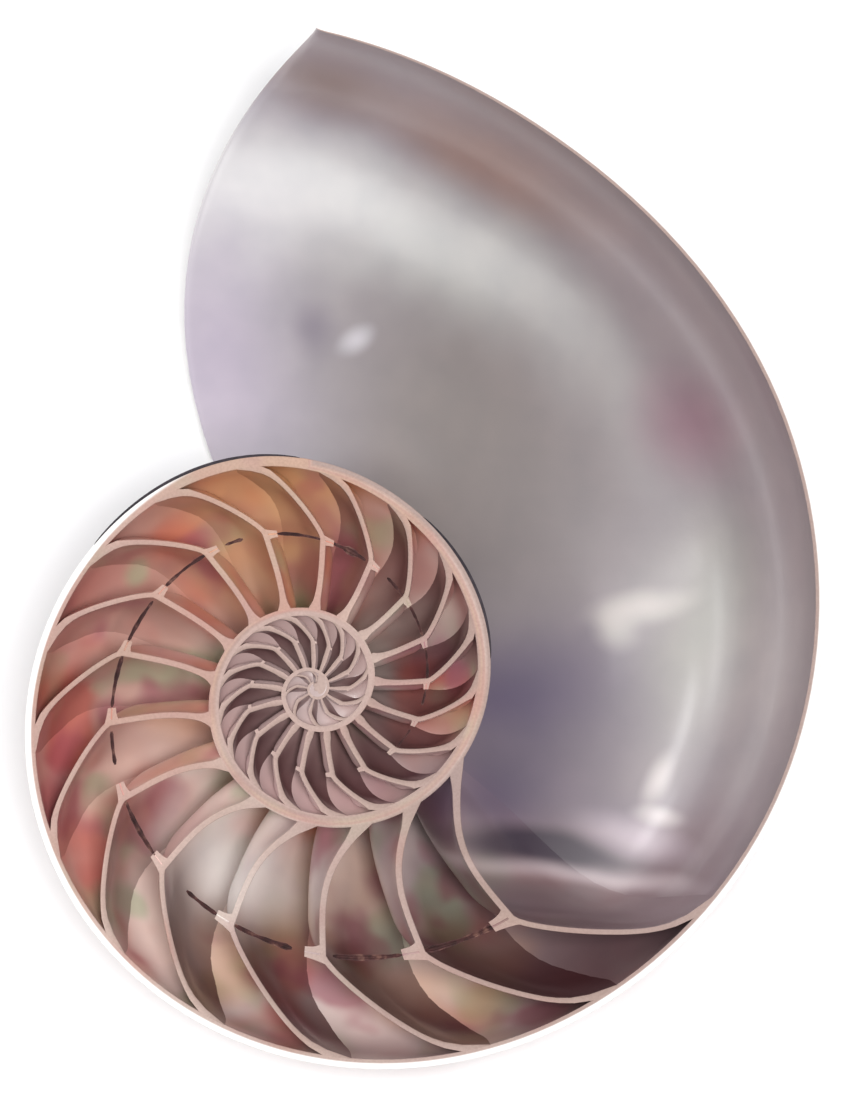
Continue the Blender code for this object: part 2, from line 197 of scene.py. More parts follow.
def sheet_body(front, back, bevel=EDGE_BEVEL):
    """Closed body between two grids of points [row, column], whose first column ends at the sawn face.

    Each row becomes a loop: down the front from its last column to the first, over the bevelled sawn edge,
    and down the back again. Returns points, faces, and for each face 0 front, 1 back, 2 edge.
    """
    rows, columns = front.shape[:2]
    front = front.copy()
    back = back.copy()
    gap = back[:, 0] - front[:, 0]
    length = np.linalg.norm(gap, axis=-1, keepdims=True).clip(1e-9)
    room = np.minimum(front[:, 0, 2] - front[:, 1, 2], back[:, 0, 2] - back[:, 1, 2]).clip(0)[:, None]
    cut = np.minimum(np.minimum(bevel, 0.25 * length), 0.5 * room)
    top_front = front[:, 0] + gap / length * cut
    top_back = back[:, 0] - gap / length * cut
    front[:, 0, 2] -= cut[:, 0]
    back[:, 0, 2] -= cut[:, 0]
    loop = np.concatenate([front[:, ::-1], top_front[:, None], top_back[:, None], back], axis=1)
    size = 2 * columns + 2
    index = np.arange(rows * size).reshape(rows, size)
    after = np.roll(index, -1, axis=1)
    around = np.stack([index[:-1], index[1:], after[1:], after[:-1]], axis=-1)
    kinds = np.concatenate([np.zeros(columns - 1), np.full(3, 2), np.ones(columns - 1), [2]])
    kinds = np.broadcast_to(kinds, (rows - 1, size))
    ends = []
    for ring, flip in ((index[0], False), (index[-1], True)):
        low = ring[:columns]
        high = ring[::-1][:columns]
        quads = np.stack([low[:-1], low[1:], high[1:], high[:-1]], axis=-1)
        quads = np.concatenate([quads, ring[None, columns - 1:columns + 3]])
        ends.append(quads[:, ::-1] if flip else quads)
    faces = np.concatenate([around.reshape(-1, 4)] + ends)
    kinds = np.concatenate([kinds.reshape(-1), np.full(len(faces) - kinds.size, 2)])
    return loop.reshape(-1, 3), faces, kinds


def loop_values(front, back):
    """Values for the points of sheet_body, from values on the front and back grids."""
    return np.concatenate([front[:, ::-1], front[:, :1], back[:, :1], back], axis=1).reshape(-1)


def new_material(name, roughness, specular=0.5):
    """A new material, its node tree and its Principled shader."""
    material = bpy.data.materials.new(name)
    material.use_nodes = True
    shader = material.node_tree.nodes["Principled BSDF"]
    shader.inputs["Roughness"].default_value = roughness
    shader.inputs["Specular IOR Level"].default_value = specular
    return material, material.node_tree, shader


def add_node(tree, kind, settings=None, values=None):
    """A new node with its settings, and with values for its inputs by name or number."""
    made = tree.nodes.new(kind)
    for key, value in (settings or {}).items():
        setattr(made, key, value)
    for key, value in (values or {}).items():
        made.inputs[key].default_value = value
    return made


def ramp(tree, factor, stops):
    """A colour ramp with its stops, each a position and a colour."""
    made = add_node(tree, "ShaderNodeValToRGB")
    while len(made.color_ramp.elements) < len(stops):
        made.color_ramp.elements.new(0.5)
    for element, (place, colour) in zip(made.color_ramp.elements, stops):
        element.position = place
        element.color = colour if len(colour) == 4 else (*colour, 1)
    tree.links.new(factor, made.inputs["Fac"])
    return made.outputs["Color"]


def mix(tree, factor, first, second, blend='MIX'):
    """A mix of two colours; factor and colours are sockets or values."""
    made = add_node(tree, "ShaderNodeMix", {"data_type": 'RGBA', "blend_type": blend})
    for socket, value in ((made.inputs[0], factor), (made.inputs[6], first), (made.inputs[7], second)):
        if isinstance(value, bpy.types.NodeSocket):
            tree.links.new(value, socket)
        else:
            socket.default_value = value
    return made.outputs[2]


def math_node(tree, operation, first, second=0.0):
    """One arithmetic step on sockets or numbers."""
    made = add_node(tree, "ShaderNodeMath", {"operation": operation})
    for socket, value in ((made.inputs[0], first), (made.inputs[1], second)):
        if isinstance(value, bpy.types.NodeSocket):
            tree.links.new(value, socket)
        else:
            socket.default_value = value
    return made.outputs[0]


def noise(tree, vector, scale, detail=2.0, roughness=0.5):
    """Smooth noise at a scale, in patches per metre."""
    values = {"Scale": scale, "Detail": detail, "Roughness": roughness}
    made = add_node(tree, "ShaderNodeTexNoise", None, values)
    tree.links.new(vector, made.inputs["Vector"])
    return made.outputs["Fac"]


def linear(code):
    """A colour code of six hexadecimal digits as linear red, green, blue and alpha."""
    channels = []
    for place in (0, 2, 4):
        value = int(code[place:place + 2], 16) / 255
        channels.append(value / 12.92 if value <= 0.04045 else ((value + 0.055) / 1.055) ** 2.4)
    return (*channels, 1)


def patch(tree, value, start, end):
    """A soft mask: 0 at start and before it, 1 at end and beyond it; start may be the larger one."""
    made = add_node(tree, "ShaderNodeMapRange", {"interpolation_type": 'SMOOTHSTEP'},
                    {"From Min": start, "From Max": end})
    tree.links.new(value, made.inputs["Value"])
    return made.outputs["Result"]


def bump(tree, height, distance, strength=1.0):
    """A bump from a height that is 0 to 1, with its distance in metres."""
    made = add_node(tree, "ShaderNodeBump", None, {"Distance": distance, "Strength": strength})
    tree.links.new(height, made.inputs["Height"])
    return made.outputs["Normal"]


def attribute(tree, name):
    """A value that the mesh holds for each point."""
    return add_node(tree, "ShaderNodeAttribute", {"attribute_name": name}).outputs["Fac"]


# Where a soft oval is full and where it has gone, with its own size counted as 1.
SOFT = (0.0, 1.85)
FIRM = (0.42, 1.45)
# Age angle, colour of the pearl there.
NACRE_AGES = (
    (-40, "c6c0c6"), (-12, "a69fa8"), (20, "81787a"), (60, "7e7477"), (100, "83787c"), (118, "807179"),
    (130, "a08287"), (160, "e4d0cc"), (205, "f4e2da"), (250, "eac8ba"), (300, "cb9c90"), (345, "cfa888"),
    (385, "bd8478"), (430, "8c6664"), (500, "a98a88"), (540, "c4a5a2"), (700, "bfa5a1"), (1100, "b5a09c"),
)
# Name, middle and reach in age angle, middle and reach in t, strength, colour. Most are the pearl's own
# tints; the two sheens are painted sheen, the dark end and the maroon rim are painted shade, the cream floor
# is painted light, and the violet at the back is violet pearl with painted shade.
GROWTH_TINTS_AND_PAINTED_LIGHT = (
    ("ventral mauve", 45, 95, 0.06, 0.19, 0.90, "8e7d7f"),
    ("painted sheen", 4, 36, 0.41, 0.085, 0.62, "c2c3bd"),
    ("painted sheen at the lip", -10, 16, 0.40, 0.13, 0.50, "d8d4d6"),
    ("lilac lip", -18, 12, 0.60, 0.12, 0.50, "b1a2b9"),
    ("beige middle", 30, 27, 0.62, 0.14, 0.75, "6e635d"),
    ("violet back with painted shade", 97, 17, 0.66, 0.12, 0.85, "524463"),
    ("sage flank", 84, 14, 0.40, 0.10, 0.45, "a5a798"),
    ("grey flank", 92, 14, 0.22, 0.09, 0.45, "a89f9d"),
    ("pink septum", 121, 8, 0.28, 0.14, 0.60, "84696d"),
    ("painted shade at the end", 136, 16, 0.24, 0.22, 0.80, "4c2f33"),
    ("painted maroon shade at the rim", 176, 38, 0.08, 0.14, 0.60, "6a3d42"),
    ("rose rim", 272, 46, 0.08, 0.20, 0.60, "ad4d48"),
    ("painted light on the cream floor", 205, 30, 0.52, 0.08, 0.70, "fdf6f0"),
    ("tan roof", 347, 17, 0.30, 0.30, 0.55, "cf9c68"),
    ("red roof", 394, 12, 0.30, 0.20, 0.60, "9c4646"),
)
# Name, middle to the right of the coiling axis and up from it, length, width (all in millimetres), turn in
# degrees, edges, strength, colour. The pink and brown ovals are the pearl's own tints. The violet ones in
# the hollow by the last septum are violet pearl with painted shade, and the dark violet leaf and the dark
# oval near the lip are painted shade. The pale and white ovals on the fold, in the corner, at the foot of
# the streak, on the silver arch and lobe, beside the lip and on the chamber floor are painted highlights and
# painted light.
PLAN_TINTS_AND_PAINTED_LIGHT = (
    ("violet hollow with painted shade", 28.0, -18.5, 9.0, 6.5, -15, SOFT, 0.65, "40335a"),
    ("violet slope with painted shade", 43.0, -18.5, 8.0, 3.6, -25, SOFT, 0.35, "6e6072"),
    ("painted light on the fold", 40.3, -29.6, 15.0, 1.5, -6, SOFT, 0.80, "dccacd"),
    ("brown fold", 35.5, -33.2, 14.0, 2.5, -14, SOFT, 0.80, "5a4448"),
    ("painted violet shade leaf", 36.8, -26.3, 15.5, 3.1, -9, FIRM, 0.97, "260a28"),
    ("painted lilac highlight in the corner", 51.0, -24.5, 7.5, 2.6, -14, SOFT, 0.50, "dccbd5"),
    ("painted white highlight in the corner", 54.8, -20.8, 3.2, 1.4, -8, SOFT, 0.45, "f6ece9"),
    ("painted highlight at the streak foot", 54.8, -15.0, 3.8, 1.6, 65, SOFT, 0.50, "ece2dd"),
    ("painted shade by the glint", -0.8, 58.0, 2.9, 3.8, 0, SOFT, 0.60, "6a6070"),
    ("painted glint", 6.2, 56.3, 2.6, 1.5, 35, SOFT, 0.50, "dcd9e0"),
    ("brown arch", 26.0, 85.5, 19.0, 4.4, -31, SOFT, 0.75, "7d5749"),
    ("brown tip", 2.0, 97.0, 8.0, 4.4, -20, SOFT, 0.80, "6d5149"),
    ("pink cheek", 59.5, 42.0, 7.5, 6.5, -60, SOFT, 0.65, "7d5060"),
    ("painted silver highlight arch", 53.0, 13.6, 6.8, 2.1, 12, SOFT, 0.55, "d8cfc7"),
    ("painted silver highlight lobe", 48.7, 9.8, 2.8, 2.6, 0, SOFT, 0.45, "d6cfc5"),
    ("painted light on the chamber floor", -13.5, -31.0, 7.0, 5.5, -50, SOFT, 0.80, "fffaf6"),
)
# Patches per metre, noise where a patch starts and where it is full, strength, colour.
CHAMBER_PATCHES = (
    (58.0, 0.46, 0.72, 0.50, "fbf3e6"),
    (66.0, 0.48, 0.68, 0.70, "d0604f"),
    (83.0, 0.52, 0.68, 0.60, "a9c09a"),
    (49.0, 0.50, 0.72, 0.50, "dba070"),
    (91.0, 0.52, 0.68, 0.65, "a8566c"),
)
PATCHES_FROM = (120.0, 150.0)
PATCHES_TO = (560.0, 400.0)
# Painted shade: the dark maroon laid into the septa's hollows.
PAINTED_SHADE_COLOUR = "431c20"
WANDER_SCALE = 26.0
DRIFT_SCALE = 41.0
AGE_WANDER = 26.0
DOWN_DRIFT = 0.16
PLAN_WAVER = 4.0 * MM
FINE_SCALE = 900.0
FINE_BUMP = 0.03 * MM
CLOUD_SCALE = 120.0
CLOUD_SHADES = ((0.3, (0.93, 0.93, 0.94)), (0.7, (1.05, 1.04, 1.03)))


def oval(tree, vector, middle, reach, turn, edges, strength):
    """A soft oval mask: the distance from its middle, with each axis of the turned oval counted as 1, eased
    from nothing at the outer edge to the full strength at the inner one. edges are the two distances."""
    placed = add_node(tree, "ShaderNodeMapping", {"vector_type": 'TEXTURE'},
                      {"Location": (*middle, 0.0), "Rotation": (0.0, 0.0, math.radians(turn)),
                       "Scale": (*reach, 1.0)})
    tree.links.new(vector, placed.inputs["Vector"])
    away = add_node(tree, "ShaderNodeVectorMath", {"operation": 'LENGTH'})
    tree.links.new(placed.outputs["Vector"], away.inputs[0])
    mask = add_node(tree, "ShaderNodeMapRange", {"interpolation_type": 'SMOOTHSTEP'},
                    {"From Min": edges[1], "From Max": edges[0], "To Max": strength})
    tree.links.new(away.outputs["Value"], mask.inputs["Value"])
    return mask.outputs["Result"]


def flat_vector(tree, first, second):
    """Two values as one vector."""
    made = add_node(tree, "ShaderNodeCombineXYZ")
    tree.links.new(first, made.inputs["X"])
    tree.links.new(second, made.inputs["Y"])
    return made.outputs["Vector"]


def along_axis(tree, position, axis):
    """How far a position lies from the coiling axis, in metres, along one of the shell's own axes."""
    direction = LYING.to_3x3() @ Vector(axis)
    made = add_node(tree, "ShaderNodeVectorMath", {"operation": 'DOT_PRODUCT'}, {1: tuple(direction)})
    tree.links.new(position, made.inputs[0])
    return math_node(tree, 'SUBTRACT', made.outputs["Value"], float(direction.dot(Vector(AXIS_PLACE))))


def nacre_group():
    """Shared mother-of-pearl colours: a ground that changes along the growth, with soft pearly blushes.

    Painted sheen, highlights, light and shade are laid over them as well.
    """
    group = bpy.data.node_groups.new("pearl colours and painted light", 'ShaderNodeTree')
    group.interface.new_socket("Position", in_out='INPUT', socket_type='NodeSocketVector')
    for name in ("Age", "Down", "Painted shade"):
        group.interface.new_socket(name, in_out='INPUT', socket_type='NodeSocketFloat')
    group.interface.new_socket("Colour", in_out='OUTPUT', socket_type='NodeSocketColor')
    group.interface.new_socket("Height", in_out='OUTPUT', socket_type='NodeSocketFloat')
    start = add_node(group, "NodeGroupInput")
    end = add_node(group, "NodeGroupOutput")
    position = start.outputs["Position"]
    wander = math_node(group, 'SUBTRACT', noise(group, position, WANDER_SCALE), 0.5)
    drift = math_node(group, 'SUBTRACT', noise(group, position, DRIFT_SCALE), 0.5)
    age = math_node(group, 'ADD', start.outputs["Age"], math_node(group, 'MULTIPLY', wander, AGE_WANDER))
    down = math_node(group, 'ADD', start.outputs["Down"], math_node(group, 'MULTIPLY', drift, DOWN_DRIFT))
    youngest = NACRE_AGES[0][0]
    oldest = NACRE_AGES[-1][0]
    share = math_node(group, 'DIVIDE', math_node(group, 'SUBTRACT', start.outputs["Age"], youngest),
                      oldest - youngest)
    stops = [((years - youngest) / (oldest - youngest), linear(code)) for years, code in NACRE_AGES]
    colour = ramp(group, share, stops)
    chambered = math_node(group, 'MULTIPLY', patch(group, start.outputs["Age"], *PATCHES_FROM),
                          patch(group, start.outputs["Age"], *PATCHES_TO))
    for scale, low, high, strength, code in CHAMBER_PATCHES:
        shift = (scale, 2 * scale, -scale)
        shifted = add_node(group, "ShaderNodeVectorMath", {"operation": 'ADD'}, {1: shift})
        group.links.new(position, shifted.inputs[0])
        mask = patch(group, noise(group, shifted.outputs[0], scale, 1.5), low, high)
        mask = math_node(group, 'MULTIPLY', mask, strength)
        colour = mix(group, math_node(group, 'MULTIPLY', mask, chambered), colour, linear(code))
    growth = flat_vector(group, age, down)
    # Tints by age angle and t: mostly the pearl's own, some painted sheen, painted light and painted shade.
    for _, middle_age, age_reach, middle_down, down_reach, strength, code in GROWTH_TINTS_AND_PAINTED_LIGHT:
        mask = oval(group, growth, (middle_age, middle_down), (age_reach, down_reach), 0, SOFT, strength)
        colour = mix(group, mask, colour, linear(code))
    # Painted shade: dark maroon laid into the septa's hollows, where the shadows fall.
    colour = mix(group, start.outputs["Painted shade"], colour, linear(PAINTED_SHADE_COLOUR))
    right = math_node(group, 'ADD', along_axis(group, position, (1, 0, 0)),
                      math_node(group, 'MULTIPLY', wander, PLAN_WAVER))
    up = math_node(group, 'ADD', along_axis(group, position, (0, 1, 0)),
                   math_node(group, 'MULTIPLY', drift, PLAN_WAVER))
    plan = flat_vector(group, right, up)
    # Ovals in plan: some the pearl's own tints, the rest painted highlights, painted light and painted
    # shade.
    for _, middle_right, middle_up, length, width, turn, edges, strength, code in PLAN_TINTS_AND_PAINTED_LIGHT:
        middle = (middle_right * MM, middle_up * MM)
        mask = oval(group, plan, middle, (length * MM, width * MM), turn, edges, strength)
        colour = mix(group, mask, colour, linear(code))
    fine = noise(group, position, FINE_SCALE, 2.0, 0.6)
    cloud = noise(group, position, CLOUD_SCALE, 2.0, 0.55)
    colour = mix(group, 1.0, colour, ramp(group, cloud, CLOUD_SHADES), 'MULTIPLY')
    group.links.new(colour, end.inputs["Colour"])
    group.links.new(fine, end.inputs["Height"])
    return group


PEARL = nacre_group()


def place_pearl(tree):
    """Puts the shared pearl colours into a material and returns its outputs and the position.

    The colours carry the painted light and shade.
    """
    made = add_node(tree, "ShaderNodeGroup", {"node_tree": PEARL})
    place = add_node(tree, "ShaderNodeTexCoord")
    tree.links.new(place.outputs["Object"], made.inputs["Position"])
    tree.links.new(attribute(tree, "pearl_age"), made.inputs["Age"])
    tree.links.new(attribute(tree, "down"), made.inputs["Down"])
    tree.links.new(attribute(tree, "painted_shade"), made.inputs["Painted shade"])
    return made.outputs["Colour"], made.outputs["Height"], place.outputs["Object"]


PEARL_IOR = 1.63
PEARL_ROUGHNESS = 0.34
PEARL_SPECULAR = 0.9
GLOSS = 0.6
GLOSS_ROUGHNESS = 0.15
# The dull place beside the umbilicus: its middle and reach, each as age angle and t.
WORN_AT = (15.0, 0.71)
WORN_REACH = (24.0, 0.09)
WORN_ROUGHNESS = 0.70


def make_nacre():
    """Mother-of-pearl inside the shell: satin under a clear gloss, finely grained, dull where worn."""
    material, tree, shader = new_material("nacre", PEARL_ROUGHNESS, PEARL_SPECULAR)
    shader.inputs["IOR"].default_value = PEARL_IOR
    shader.inputs["Coat Weight"].default_value = GLOSS
    shader.inputs["Coat Roughness"].default_value = GLOSS_ROUGHNESS
    shader.inputs["Coat IOR"].default_value = PEARL_IOR
    colour, fine, _ = place_pearl(tree)
    growth = flat_vector(tree, attribute(tree, "age"), attribute(tree, "down"))
    worn = oval(tree, growth, WORN_AT, WORN_REACH, 0, SOFT, 1.0)
    rougher = math_node(tree, 'MULTIPLY', worn, WORN_ROUGHNESS - PEARL_ROUGHNESS)
    lost_gloss = math_node(tree, 'MULTIPLY', worn, GLOSS)
    tree.links.new(colour, shader.inputs["Base Color"])
    tree.links.new(math_node(tree, 'ADD', rougher, PEARL_ROUGHNESS), shader.inputs["Roughness"])
    tree.links.new(math_node(tree, 'SUBTRACT', GLOSS, lost_gloss), shader.inputs["Coat Weight"])
    tree.links.new(bump(tree, fine, FINE_BUMP, 0.5), shader.inputs["Normal"])
    return material


CUT_CREAM = "ad978d"
CUT_CREAM_SHARE = 0.72
CUT_LAYER_SCALE = 2600.0
CUT_LAYER_SHADES = ((0.35, (0.92, 0.90, 0.89)), (0.65, (1.03, 1.02, 1.01)))
CUT_PORCELAIN = "f1edea"
CUT_PORCELAIN_FROM = (0.28, 0.50)


def make_cut():
    """The sawn edge: pinkish cream pearl, and on the last turn the white porcelain outside it."""
    material, tree, shader = new_material("cut_edge", roughness=0.42)
    colour, fine, position = place_pearl(tree)
    # The pearl's painted light and shade show faintly through the cream.
    cream = mix(tree, CUT_CREAM_SHARE, colour, linear(CUT_CREAM))
    layers = ramp(tree, noise(tree, position, CUT_LAYER_SCALE), CUT_LAYER_SHADES)
    cream = mix(tree, 1.0, cream, layers, 'MULTIPLY')
    white = patch(tree, attribute(tree, "layer"), *CUT_PORCELAIN_FROM)
    colour = mix(tree, white, cream, linear(CUT_PORCELAIN))
    tree.links.new(colour, shader.inputs["Base Color"])
    tree.links.new(bump(tree, fine, FINE_BUMP, 0.5), shader.inputs["Normal"])
    return material


FLAME_STEP = 15.5
FLAME_LEAN = 46.0
FLAME_WARP = 34.0
FLAME_WARP_SCALE = 60.0
FLAME_RAG = 0.9
FLAME_RAG_SCALE = 420.0
FLAME_EDGE = (0.25, 0.75)
FLAME_AGES = (96.0, 150.0)
FLAME_AGE_WARP = 40.0
FLAME_AT_VENTER = 0.6
FLAME_VENTER = (0.02, 0.10)
FLAME_UMBILICUS = (0.86, 0.72)
GROUND_SCALE = 90.0
GROUND_COLOURS = ((0.3, linear("e3dad0")), (0.7, linear("f1ece4")))
RUST_SCALE = 240.0
RUST_COLOURS = ((0.3, linear("7a3d22")), (0.7, linear("a65c34")))
GROWTH_LINE_RATE = 7.5
GROWTH_LINE_WARP = 20.0
GROWTH_LINE_SCALE = 30.0
GROWTH_LINE_BUMP = 0.06 * MM


def make_porcelain():
    """The outside: cream porcelain with growth lines, and rust flames on the older part of the turn."""
    material, tree, shader = new_material("porcelain", roughness=0.33)
    place = add_node(tree, "ShaderNodeTexCoord").outputs["Object"]
    age = attribute(tree, "age")
    down = attribute(tree, "down")
    warp = noise(tree, place, FLAME_WARP_SCALE, 3.0, 0.55)
    leaning = math_node(tree, 'ADD', age, math_node(tree, 'MULTIPLY', down, FLAME_LEAN))
    wave = math_node(tree, 'ADD', leaning, math_node(tree, 'MULTIPLY', warp, FLAME_WARP))
    stripe = math_node(tree, 'SINE', math_node(tree, 'MULTIPLY', wave, 2 * math.pi / FLAME_STEP))
    ragged = math_node(tree, 'MULTIPLY', noise(tree, place, FLAME_RAG_SCALE, 3.0), FLAME_RAG)
    flame = patch(tree, math_node(tree, 'ADD', stripe, ragged), *FLAME_EDGE)
    warped_age = math_node(tree, 'ADD', age, math_node(tree, 'MULTIPLY', warp, FLAME_AGE_WARP))
    older = patch(tree, warped_age, *FLAME_AGES)
    umbilicus = patch(tree, down, *FLAME_UMBILICUS)
    flame = math_node(tree, 'MULTIPLY', math_node(tree, 'MULTIPLY', flame, older), umbilicus)
    venter = math_node(tree, 'MULTIPLY', patch(tree, down, *FLAME_VENTER), 1 - FLAME_AT_VENTER)
    flame = math_node(tree, 'MULTIPLY', flame, math_node(tree, 'ADD', venter, FLAME_AT_VENTER))
    ground = ramp(tree, noise(tree, place, GROUND_SCALE, 3.0), GROUND_COLOURS)
    rust = ramp(tree, noise(tree, place, RUST_SCALE, 4.0), RUST_COLOURS)
    bent = math_node(tree, 'MULTIPLY', noise(tree, place, GROWTH_LINE_SCALE), GROWTH_LINE_WARP)
    lines = math_node(tree, 'ADD', math_node(tree, 'MULTIPLY', age, GROWTH_LINE_RATE), bent)
    ridges = math_node(tree, 'SINE', lines)
    tree.links.new(mix(tree, flame, ground, rust), shader.inputs["Base Color"])
    tree.links.new(bump(tree, ridges, GROWTH_LINE_BUMP, 0.5), shader.inputs["Normal"])
    return material


nacre = make_nacre()
cut_edge = make_cut()
porcelain = make_porcelain()


def make_wall():
    """The outer wall from the lip to the first chamber: one strip, rolled up.

    A row keeps one growth time: its age angle is that time plus the lip's own curve. The strip thins
    towards the lip, where it ends rounded. Its outside is porcelain on the last turn; on the turns before
    it is the floor of the chambers a turn later, so its pearl has their colours.
    """
    early = np.linspace(0, 1, LIP_ROWS) ** 2 * LIP_ROWS_END
    times = np.concatenate([early[:-1], np.linspace(LIP_ROWS_END, WALL_END, WALL_ROWS)])
    columns = np.linspace(0, 1, WALL_COLUMNS)
    time, t = np.meshgrid(times, columns, indexing='ij')
    age = time + lip_age(t)
    full = thickness(WALL, age)
    thinned = LIP_THINNEST + (1 - LIP_THINNEST) * (1 - np.exp(-time / LIP_THINNING))
    rounded = np.sqrt(1 - (1 - np.clip(time / LIP_ROUNDING, 0.01, 1)) ** 2)
    away, height = wall_point(age, t, 0.0)
    outside = turned(away, height, age)
    away, height = wall_point(age, t, full * thinned * rounded)
    inside = turned(away, height, age)
    points, faces, kinds = sheet_body(outside, inside)
    faces = faces[:, ::-1]
    face_time = loop_values(time, time)[faces].min(axis=1)
    porcelain_faces = (kinds == 0) & (face_time < FULL_TURN - 0.01)
    slots = np.where(kinds == 2, 2, np.where(porcelain_faces, 1, 0))
    facing = np.where(time >= FULL_TURN, age - FULL_TURN, age)
    porcelain_share = np.clip((PORCELAIN_END - age) / PORCELAIN_FADE, 0, 1)
    values = {
        "age": loop_values(age, age),
        "pearl_age": loop_values(facing, age),
        "down": loop_values(t, t),
        "layer": loop_values(porcelain_share, 0 * age),
    }
    return put_in_mesh("spiral_wall", points, faces, slots, values, (nacre, porcelain, cut_edge))


wall = make_wall()
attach(wall, "root")
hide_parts("shell_half")

# The septa.
# Thin bowls of mother-of-pearl, hollow towards the lip, that closed off each chamber as the animal moved
# forward. They are welded to the wall all round with a small fillet.

# Age angle, thickness in millimetres.
SEPTUM = ((0, 1.05), (360, 0.90), (540, 0.85), (720, 0.72), (1100, 0.5))
FIRST_SEPTUM = 119.5
YOUNGEST_STEPS = (17.0, 19.5)
SEPTUM_STEP = 20.8
SEPTUM_COUNT = 40
WIDENING_FROM = 30
WIDENING = 1.14
WIDEST_STEP = 42.0
APEX = 1090.0
# How far the deepest place and the inner end lie behind the outer end, in degrees, youngest septum first.
BOWL_LAGS = (20.0, 21.5, 22.5, 23.0, 23.0, 22.0, 21.5, 20.5, 19.5)
INNER_END_LAGS = (-0.5, 4.5, 5.5, 7.0, 9.5, 12.0, 15.0, 16.0)
EDGE_LAG = 4.0
EDGE_SHARE = 0.08
BOWL_OUTER_POWER = 1.15
BOWL_INNER_POWER = 4.0
BOWL_FLANK_POWER = 1.5
SUTURE_LOBE = 8.0
CHAMBER_END = 0.86
STEEPEST_LEAN = 0.85
THICKEST_SHARE = 0.26
SIPHUNCLE_AT = ((119, 0.56), (262, 0.56), (350, 0.51))
FILLET_REACH = 0.8 * MM
FILLET_WIDTH_SHARE = 0.06
FILLET_GAIN = 1.5
TUCK = 0.03 * MM
CORNER_ROUNDING = 1.3
SEPTUM_ROWS = 40
OLD_SEPTUM_ROWS = 26
OLD_SEPTA_FROM = 20
SEPTUM_COLUMNS = 26
INTO_WALLS = 0.012
INTO_CALLUS = 0.02
# Painted shade: dark maroon laid into a septum's hollow, where the shadow falls. Where it starts between the
# walls and how soon it is full, what is left of it at the inner wall and its depth in t, both by septum
# number, and its strength by age angle.
PAINTED_SHADE_FROM = 0.56
PAINTED_SHADE_FADE = 0.18
PAINTED_SHADE_INNER_SHARES = ((10, 0.25), (18, 0.80))
PAINTED_SHADE_DEPTHS = ((10, 0.52), (18, 0.75))
PAINTED_SHADE_STRENGTHS = ((140, 0.90), (205, 0.88), (235, 0.30), (340, 0.30), (375, 0.80), (500, 0.92))


def chamber_point(age, s, t):
    """A point in the hollow of the tube: s = 0 on the earlier whorl, 1 on the inside of the outer wall."""
    inner_away, inner_height = wall_point(age + FULL_TURN, t, 0.0)
    outer_away, outer_height = wall_point(age, t, thickness(WALL, age))
    away = inner_away + s * (outer_away - inner_away)
    return turned(away, inner_height + s * (outer_height - inner_height), age)


def siphuncle_share(age):
    """Where the siphuncle runs, as a share of the way from the inner to the outer wall."""
    return np.interp(age, *zip(*SIPHUNCLE_AT))


def for_septum(values, number):
    """A septum's own value from a list that starts at the youngest; the older ones share the last value."""
    return values[min(number, len(values) - 1)]


def bowl_lag(number, age, s, t):
    """How far a septum lies behind its outer end, in degrees.

    From the outer wall it bends back quickly, then runs back evenly to its deepest place at the siphuncle,
    stays there, and curves forward again to its inner end. The bowl is shallower down the flank, and the
    whole septum has a shallow lobe there.
    """
    deepest = for_septum(BOWL_LAGS, number)
    inner_end = for_septum(INNER_END_LAGS, number)
    neck = siphuncle_share(age)
    outward = np.clip((1 - s) / (1 - neck), 0, 1)
    inward = np.clip((neck - s) / neck, 0, 1)
    outer_part = (EDGE_LAG * (1 - np.exp(-outward / EDGE_SHARE))
                  + (deepest - EDGE_LAG) * outward ** BOWL_OUTER_POWER)
    short = np.hypot(deepest - outer_part, CORNER_ROUNDING) - CORNER_ROUNDING
    outer_part = deepest - short * deepest / (math.hypot(deepest, CORNER_ROUNDING) - CORNER_ROUNDING)
    inner_part = inner_end + (deepest - inner_end) * (1 - inward ** BOWL_INNER_POWER)
    away, depth = section(t)
    shallower = np.hypot(away, depth) ** BOWL_FLANK_POWER
    lobe = SUTURE_LOBE * np.sin(math.pi * np.clip(t / CHAMBER_END, 0, 1)) ** 2
    return np.where(s > neck, outer_part, inner_part) * shallower + lobe


def septum_ages():
    """Age angle of each septum's outer end: crowded at first, then even, wider apart near the apex."""
    steps = list(YOUNGEST_STEPS) + [SEPTUM_STEP] * (SEPTUM_COUNT - 1 - len(YOUNGEST_STEPS))
    for index in range(WIDENING_FROM, len(steps)):
        steps[index] = min(steps[index - 1] * WIDENING, WIDEST_STEP)
    return [FIRST_SEPTUM + sum(steps[:index]) for index in range(SEPTUM_COUNT)]


